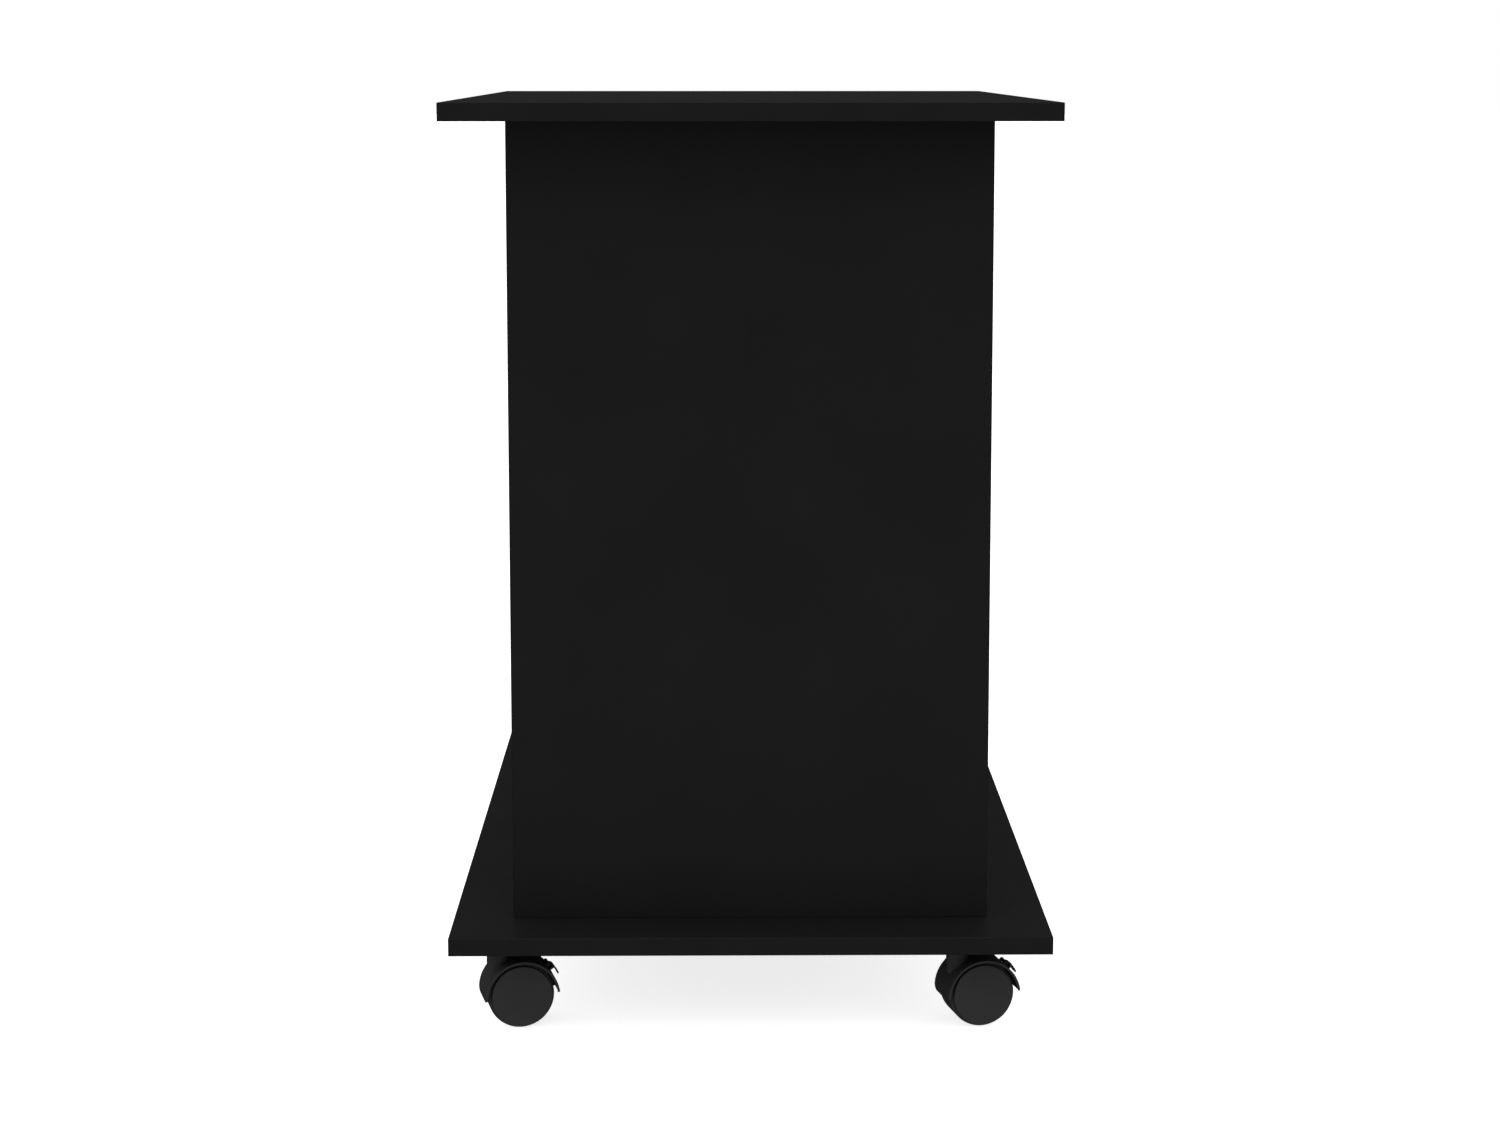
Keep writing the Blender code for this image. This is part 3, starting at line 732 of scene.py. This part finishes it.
def hexagon(radius, low, high):
    return rod(radius, (0, 0, low), (0, 0, high), sides=6)


def face_middle(node, axis, side):
    low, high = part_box(node)
    middle = (low + high) / 2
    middle[axis] = high[axis] if side > 0 else low[axis]
    return middle


cam_places = []
cam_nodes = []
for hand, sign in (("left", -1), ("right", 1)):
    outward = Vector((sign, 0, 0))
    for end in ("front", "rear"):
        top_cam, shelf_cam = f"top_cam_{hand}_{end}", f"shelf_cam_{hand}_{end}"
        low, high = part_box(top_cam)
        face_x = low.x if sign > 0 else high.x
        cam_places.append((Vector((face_x, (low.y + high.y) / 2, low.z + CAM_RADIUS)), -outward, Z))
        low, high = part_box(shelf_cam)
        middle_x = low.x + CAM_RADIUS if sign > 0 else high.x - CAM_RADIUS
        cam_places.append((Vector((middle_x, (low.y + high.y) / 2, low.z)), -Z, outward))
        cam_nodes += [top_cam, shelf_cam]
    rail_cam = f"rail_cam_{hand}"
    low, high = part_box(rail_cam)
    middle_x = low.x + CAM_RADIUS if sign > 0 else high.x - CAM_RADIUS
    cam_places.append((Vector((middle_x, high.y, (low.z + high.z) / 2)), Vector((0, 1, 0)), outward))
    cam_nodes.append(rail_cam)
cams = set_fittings("cam_fittings", cam_fitting(), cam_places, DIE_CAST)
piece(cams, "cam_fittings", (DIE_CAST,), CARCASS, "die_cast_zinc", *cam_nodes)

base_screw_nodes = [f"base_screw_{hand}_{end}" for hand in ("left", "right") for end in ("front", "rear")]
base_screw_places = [(face_middle(node, 2, -1), Z, X) for node in base_screw_nodes]
confirmat = wood_screw(
    CONFIRMAT_LENGTH,
    core=2.1 * MM,
    crest=3.0 * MM,
    pitch=3.0 * MM,
    head_profile=[(0, 0), (4.5 * MM, 0), (4.8 * MM, 0.3 * MM), (4.8 * MM, 1.2 * MM), (2.6 * MM, 3.4 * MM)],
    plain_end=7.5 * MM,
    tip=3.5 * MM,
)
confirmat = joined(confirmat, cuts=[hexagon(2.2 * MM, -MM, 2.5 * MM)])
base_screws = set_fittings("base_screws", confirmat, base_screw_places, ZINC_PLATE, 2 * math.pi, 11)
piece(base_screws, "base_screws", (ZINC_PLATE,), CARCASS, "zinc_plated_steel", *base_screw_nodes)

castor_screw_nodes = [f"{corner}_castor_screw_{i}" for corner in CORNERS for i in (1, 2, 3, 4)]
castor_screw_places = [(face_middle(node, 2, -1), Z, X) for node in castor_screw_nodes]
pan_head = [
    (0, 0),
    (1.6 * MM, 0.03 * MM),
    (2.4 * MM, 0.22 * MM),
    (3.0 * MM, 0.7 * MM),
    (3.35 * MM, 1.4 * MM),
    (3.4 * MM, 1.9 * MM),
    (3.3 * MM, PAN_HEAD_HEIGHT),
    (1.2 * MM, PAN_HEAD_HEIGHT),
]
castor_screw = wood_screw(
    CASTOR_SCREW_LENGTH + PAN_HEAD_HEIGHT,
    core=1.1 * MM,
    crest=1.6 * MM,
    pitch=1.3 * MM,
    head_profile=pan_head,
    plain_end=2.6 * MM,
    tip=2.2 * MM,
)
wedges = cross_recess(reach=1.7 * MM, width=0.38 * MM, depth=1.3 * MM)
recess = [moved(wedge, Matrix.Rotation(math.pi, 4, "X")) for wedge in wedges]
castor_screw = joined(castor_screw, cuts=recess)
castor_screws = set_fittings("castor_screws", castor_screw, castor_screw_places, ZINC_PLATE, 2 * math.pi, 23)
piece(castor_screws, "castor_screws", (ZINC_PLATE,), CARCASS, "zinc_plated_steel", *castor_screw_nodes)


# ---------------------------------------------------------------- castors


def hood():
    """The moulded body: a hood with a bead on each edge, the web under it, the neck, and the pedal's ears."""
    quarter = [math.radians(18 * i) for i in range(6)]
    soft = BEAD_ROUND
    edge = [(HOOD_HALF - soft + soft * math.sin(a), soft * math.cos(a)) for a in quarter]
    half_section = [
        *[(x, HOOD_RADIUS - soft + up) for x, up in edge],
        *[(x, HOOD_RADIUS - BEAD_HEIGHT + soft - up) for x, up in reversed(edge)],
        (HOOD_HALF - BEAD_WIDTH, HOOD_RADIUS - BEAD_HEIGHT + 0.1 * MM),
        (HOOD_HALF - BEAD_END, HOOD_RADIUS - HOOD_WALL),
    ]
    rim = half_section + [(-x, r) for x, r in reversed(half_section)]
    steps = 120
    start, end = (math.radians(a) for a in HOOD_ANGLES)
    mesh = bmesh.new()
    rows = []
    for i in range(steps + 1):
        angle = start + (end - start) * i / steps
        across = Vector((0, math.cos(angle), math.sin(angle)))
        rows.append([mesh.verts.new(HOOD_CENTRE + X * x + across * r) for x, r in rim])
    for one, two in zip(rows, rows[1:]):
        for i in range(len(rim)):
            j = (i + 1) % len(rim)
            mesh.faces.new((one[i], one[j], two[j], two[i]))
    mesh.faces.new(rows[0])
    mesh.faces.new(rows[-1])
    shell = held(mesh)

    web = slab(on_arc(HOOD_CENTRE, HOOD_RADIUS - HOOD_WALL / 2, *WEB_ANGLES, 90), WEB_HALF)
    boss = bar(BOSS_RADIUS, AXLE_CENTRE, BOSS_HALF, 64, 0.3 * MM)
    neck = turned(
        [
            (0, NECK_FOOT),
            (NECK_RADIUS, NECK_FOOT),
            (NECK_RADIUS, NECK_TOP - 0.5 * MM),
            (NECK_RADIUS - 0.15 * MM, NECK_TOP - 0.15 * MM),
            (NECK_RADIUS - 0.5 * MM, NECK_TOP),
            (0, NECK_TOP),
        ],
        72,
    )
    # The neck's foot ends within the thickness of the hood's wall.
    below = bar(HOOD_RADIUS - 0.5 * MM, HOOD_CENTRE, HOOD_HALF, 180)
    neck = joined(neck, cuts=[below])
    corners = []
    nose_low = HOOD_CENTRE.z + HOOD_RADIUS * math.sin(end)
    front = HOOD_CENTRE.y - HOOD_RADIUS - MM
    for side in (-1, 1):
        middle = Vector((side * (HOOD_HALF - HOOD_CORNER), front - MM, nose_low + HOOD_CORNER))
        inner, outer = sorted((middle.x, side * (HOOD_HALF + MM)))
        waste = block((inner, front, nose_low - MM), (outer, front + HOOD_CORNER, middle.z))
        kept = rod(HOOD_CORNER, middle, middle + Vector((0, 3 * HOOD_CORNER, 0)), 96)
        corners.append(joined(waste, cuts=[kept]))
    window = ring_block(WINDOW_RADII, WINDOW_ANGLES, WINDOW_HALF, 6)
    body = joined(shell, parts=[web, boss, neck], cuts=[window, *corners])
    ears = []
    ear_middle = sum(EAR_FACES) / 2
    ear_half = (EAR_FACES[1] - EAR_FACES[0]) / 2
    for side in (-1, 1):
        foot = ring_block(EAR_FOOT_RADII, EAR_FOOT_ANGLES, ear_half, 4, side * ear_middle)
        inner, outer = (PIVOT_CENTRE + X * side * face for face in EAR_FACES)
        ears += [foot, rod(EAR_RADIUS, inner, outer, 36)]
    kingpin_bore = rod(KINGPIN_RADIUS + RUNNING_GAP, (0, 0, KINGPIN_BORE_LOW), (0, 0, NECK_TOP + MM), 48)
    axle_bore = bar(AXLE_RADIUS + RUNNING_GAP, AXLE_CENTRE, 2 * WEB_HALF, 48)
    pivot_bore = bar(TRUNNION_RADIUS + RUNNING_GAP, PIVOT_CENTRE, HOOD_HALF, 24)
    return joined(body, parts=ears, cuts=[kingpin_bore, axle_bore, pivot_bore])


def brake_pedal():
    """The foot pedal with its grip ridges, its trunnions, and the shoe that presses on both treads."""
    tip, bend = PEDAL_ANGLES
    low, high = PEDAL_RADII
    steps = 10
    # From the bend to the barrel the plate dips smoothly towards the pivot.
    over, under = [], []
    for i in range(1, steps + 1):
        along = i / steps
        dip = along * along * (3 - 2 * along)
        angle = bend + (PIVOT_ANGLE - bend) * along
        for side, start, end in (
            (over, high, PIVOT_RADIUS + BARREL_RADIUS),
            (under, low, PIVOT_RADIUS - BARREL_RADIUS * 0.6),
        ):
            side += on_arc(HOOD_CENTRE, start + (end - start) * dip, angle, angle, 1)[:1]
    outline = (
        on_arc(HOOD_CENTRE, high, tip, bend, steps)
        + over
        + under[::-1]
        + on_arc(HOOD_CENTRE, low, bend, tip, steps)
    )
    pedal = softened(slab(outline, PEDAL_HALF), 0.3 * MM, angle=50)
    shoe = softened(ring_block(SHOE_RADII, SHOE_ANGLES, SHOE_HALF, 2), 0.2 * MM, angle=50)
    barrel = bar(BARREL_RADIUS, PIVOT_CENTRE, PEDAL_HALF, 32, 0.15 * MM)
    trunnion = bar(TRUNNION_RADIUS, PIVOT_CENTRE, TRUNNION_HALF, 24, 0.15 * MM)
    ridges = ribs(
        count=3,
        first=tip + 1.4,
        step=1.6,
        middle_radius=high,
        height=0.6 * MM,
        width=0.45 * MM,
        length=2 * (PEDAL_HALF - 0.8 * MM),
        finish=NYLON,
    )
    ridges = moved(ridges, Matrix.Translation(HOOD_CENTRE))
    return joined(pedal, parts=[shoe, barrel, trunnion, ridges])


def wheel(side):
    """A moulded wheel about its own centre: proud flat face, rounded tread, ribbed hollow towards the web."""
    quarter = [(1 - math.cos(a), 1 - math.sin(a)) for a in (math.radians(90 - 15 * i) for i in range(7))]
    floor = WHEEL_OUTER_FACE - WHEEL_FACE_WALL
    profile = [
        (0, WHEEL_OUTER_FACE),
        *[(FACE_RADIUS - FACE_ROUND * c, WHEEL_OUTER_FACE - FACE_ROUND * s) for c, s in quarter],
        (FACE_RADIUS, TREAD_OUTER_FACE),
        *[(WHEEL_RADIUS - TREAD_ROUND * c, TREAD_OUTER_FACE - TREAD_ROUND * s) for c, s in quarter],
        *[(WHEEL_RADIUS - INNER_ROUND * c, WHEEL_INNER_FACE + INNER_ROUND * s) for c, s in reversed(quarter)],
        (RIM_INSIDE + RIM_EASE, WHEEL_INNER_FACE),
        (RIM_INSIDE, WHEEL_INNER_FACE + RIM_EASE),
        (RIM_INSIDE - DRAFT, floor),
        (HUB_RADIUS + DRAFT, floor),
        (HUB_RADIUS, WHEEL_INNER_FACE + HUB_EASE),
        (HUB_RADIUS - HUB_EASE, WHEEL_INNER_FACE),
        (WHEEL_BORE + HUB_EASE, WHEEL_INNER_FACE),
        (WHEEL_BORE, WHEEL_INNER_FACE + HUB_EASE),
        (WHEEL_BORE, WHEEL_BORE_END),
        (0, WHEEL_BORE_END),
    ]
    body = moved(turned(profile, 128), Z.rotation_difference(X).to_matrix().to_4x4())
    # The spokes stand back from the inner face, and run into the hub, the rim and the floor of the hollow.
    low, high = WHEEL_INNER_FACE + SPOKE_SET_BACK, floor + 0.5 * MM
    spokes = ribs(
        count=SPOKES,
        first=0,
        step=360 / SPOKES,
        middle_radius=sum(SPOKE_RADII) / 2,
        height=SPOKE_RADII[1] - SPOKE_RADII[0],
        width=SPOKE_WIDTH,
        length=high - low,
        finish=NYLON,
    )
    spokes = moved(spokes, Matrix.Translation(X * (high + low) / 2))
    made = joined(body, parts=[spokes])
    return made if side > 0 else moved(made, Matrix.Rotation(math.pi, 4, "Z"))


def mounting_plate():
    """The pressed plate with its four holes, and the kingpin riveted through it."""
    outline = rounded_square(PLATE_HALF, PLATE_CORNER, 8)
    mesh = bmesh.new()
    low = [mesh.verts.new((x, y, PLATE_LOW)) for x, y in outline]
    high = [mesh.verts.new((x, y, PLATE_HIGH)) for x, y in outline]
    mesh.faces.new(low)
    mesh.faces.new(high)
    for i in range(len(outline)):
        j = (i + 1) % len(outline)
        mesh.faces.new((low[i], low[j], high[j], high[i]))
    plate = softened(held(mesh), 0.35 * MM, angle=60)
    groove = (PLATE_LOW + KINGPIN_LOW) / 2
    kingpin = turned(
        [
            (0, PLATE_HIGH - MM),
            (KINGPIN_RADIUS, PLATE_HIGH - MM),
            (KINGPIN_RADIUS, groove + MM),
            (KINGPIN_RADIUS - 0.6 * MM, groove + MM),
            (KINGPIN_RADIUS - 0.6 * MM, groove - MM),
            (KINGPIN_RADIUS, groove - MM),
            (KINGPIN_RADIUS, KINGPIN_LOW + MM),
            (KINGPIN_RADIUS - MM, KINGPIN_LOW),
            (0, KINGPIN_LOW),
        ],
        64,
    )
    half = SCREW_SPACING / 2
    holes = []
    for x in (-half, half):
        for y in (-half, half):
            hole = [
                (0, PLATE_LOW - MM),
                (2.4 * MM, PLATE_LOW - MM),
                (2.4 * MM, PLATE_LOW),
                (2.1 * MM, PLATE_LOW + 0.3 * MM),
                (2.1 * MM, PLATE_HIGH + MM),
                (0, PLATE_HIGH + MM),
            ]
            holes.append(moved(turned(hole, 32), Matrix.Translation((x, y, 0))))
    return joined(plate, parts=[kingpin], cuts=holes)


def copy_at(shape, matrix):
    made = bpy.data.objects.new("copy", shape.data.copy())
    bpy.context.scene.collection.objects.link(made)
    return moved(made, matrix)


shapes = {
    "mounting": mounting_plate(),
    "hood": hood(),
    "axle_pin": bar(AXLE_RADIUS, AXLE_CENTRE, AXLE_HALF, 48, 0.4 * MM),
    "pedal": brake_pedal(),
    "left_roller": moved(wheel(-1), Matrix.Translation(AXLE_CENTRE)),
    "right_roller": moved(wheel(1), Matrix.Translation(AXLE_CENTRE)),
}
joints = {joint["name"]: joint for joint in frame["joints"]}
for corner in CORNERS:
    name = f"{corner}_castor"
    pin = joints[f"{name}_swivel"]["pos_m"]
    axle = joints[f"{name}_right_wheel_spin"]["axis"]
    standing = Matrix.Translation((pin[0], pin[1], 0))
    trailing = standing @ Matrix.Rotation(math.atan2(axle[1], axle[0]), 4, "Z")
    swivel = f"{name}_swivel"
    rows = (
        ("mounting", standing, ZINC_PLATE, CARCASS, "zinc_plated_steel", "plate"),
        ("hood", trailing, NYLON, swivel, "black_nylon", "housing"),
        ("axle_pin", trailing, ZINC_PLATE, swivel, "zinc_plated_steel", "axle"),
        ("pedal", trailing, NYLON, f"{name}_lever", "black_nylon", "brake_lever"),
        ("left_roller", trailing, NYLON, f"{name}_left_wheel", "black_nylon", "left_wheel"),
        ("right_roller", trailing, NYLON, f"{name}_right_wheel", "black_nylon", "right_wheel"),
    )
    for word, matrix, finish, body, slot, node in rows:
        piece(copy_at(shapes[word], matrix), f"{name}_{word}", (finish,), body, slot, f"{name}_{node}")
for shape in shapes.values():
    bpy.data.objects.remove(shape)


# ---------------------------------------------------------------- studio

FLOOR_HALF = 40
floor_mesh = bmesh.new()
bmesh.ops.create_grid(floor_mesh, x_segments=1, y_segments=1, size=FLOOR_HALF)
floor = held(floor_mesh, "studio_floor")
# White acrylic table lit through from below: pale and even, with only faint shadows.
ACRYLIC = surface(
    "opal_acrylic_table", ("#e8e8e6", "#ececea"), (0.68, 0.74), (3 * MM, 0.002 * MM), 400 * MM,
    Specular_IOR_Level=0.1, Emission_Color=(1, 1, 1, 1), Emission_Strength=0.78,
)
floor.data.materials.append(ACRYLIC)
# The table throws no light back on the stand, which keeps its black faces even down to the castors.
floor.visible_diffuse = False
floor.visible_glossy = False

# An even white tent all round. In reflections it is dark low down and brighter towards the top.
TENT = 0.85
TENT_IN_GLOSS = (0.008, 0.10)
GLOSS_HEIGHTS = (0.06, 0.40)
WHITE = (1, 1, 1, 1)
world = bpy.data.worlds.new("studio")
world.use_nodes = True
bpy.context.scene.world = world
tree = world.node_tree
tree.nodes.clear()
path = add(tree, "ShaderNodeLightPath").outputs
direction = add(tree, "ShaderNodeTexCoord").outputs["Generated"]
height = add(tree, "ShaderNodeSeparateXYZ", {0: direction}).outputs["Z"]
glow = add(
    tree,
    "ShaderNodeMapRange",
    {0: height, 1: GLOSS_HEIGHTS[0], 2: GLOSS_HEIGHTS[1], 3: TENT_IN_GLOSS[0], 4: TENT_IN_GLOSS[1]},
)
soft = add(tree, "ShaderNodeBackground", {"Color": WHITE, "Strength": TENT})
dim = add(tree, "ShaderNodeBackground", {"Color": WHITE, "Strength": glow.outputs[0]})
white = add(tree, "ShaderNodeBackground", {"Color": WHITE, "Strength": 1.0})
lit = add(tree, "ShaderNodeMixShader", {0: path["Is Glossy Ray"], 1: soft.outputs[0], 2: dim.outputs[0]})
seen = add(tree, "ShaderNodeMixShader", {0: path["Is Camera Ray"], 1: lit.outputs[0], 2: white.outputs[0]})
add(tree, "ShaderNodeOutputWorld", {"Surface": seen.outputs[0]})

KEY_STRENGTH = 0.5
KEY_SPREAD = 70
KEY_FROM = Vector((0.45, -0.15, 1.0))
key = bpy.data.lights.new("overhead_softbox", "SUN")
key.energy = KEY_STRENGTH
key.angle = math.radians(KEY_SPREAD)
key_light = bpy.data.objects.new("overhead_softbox", key)
key_light.rotation_euler = (-KEY_FROM).to_track_quat("-Z", "Y").to_euler()
bpy.context.scene.collection.objects.link(key_light)

# A softbox on each side gives the fronts, backs and rounded edges their shape.
SIDE_BOX = 1.6
SIDE_POWER = 14
SIDE_BOX_AT = Vector((0.1, 2.4, 1.7))
SIDE_BOX_AIM = Vector((0, 0, 0.4))
for word, side in (("front", -1), ("rear", 1)):
    box_light = bpy.data.lights.new(f"{word}_softbox", "AREA")
    box_light.size = SIDE_BOX
    box_light.energy = SIDE_POWER
    box_obj = bpy.data.objects.new(f"{word}_softbox", box_light)
    box_obj.location = (SIDE_BOX_AT.x, side * SIDE_BOX_AT.y, SIDE_BOX_AT.z)
    aim = SIDE_BOX_AIM - box_obj.location
    box_obj.rotation_euler = aim.to_track_quat("-Z", "Y").to_euler()
    bpy.context.scene.collection.objects.link(box_obj)

CAMERA_AT = (2.800, -0.0255, 0.8113)
TILT = 0.1330
PAN = 0.0103
SENSOR = 36
FOCAL_LENGTH = 71.96
SHIFT = -0.0700
lens = bpy.data.cameras.new("camera")
lens.sensor_width = SENSOR
lens.lens = FOCAL_LENGTH
lens.shift_y = SHIFT
lens.clip_end = 200
camera = bpy.data.objects.new("camera", lens)
camera.location = CAMERA_AT
looking = Vector((-math.cos(TILT) * math.cos(PAN), math.cos(TILT) * math.sin(PAN), -math.sin(TILT)))
camera.rotation_euler = looking.to_track_quat("-Z", "Y").to_euler()
bpy.context.scene.collection.objects.link(camera)
bpy.context.scene.camera = camera
bpy.context.scene.view_settings.view_transform = "Standard"
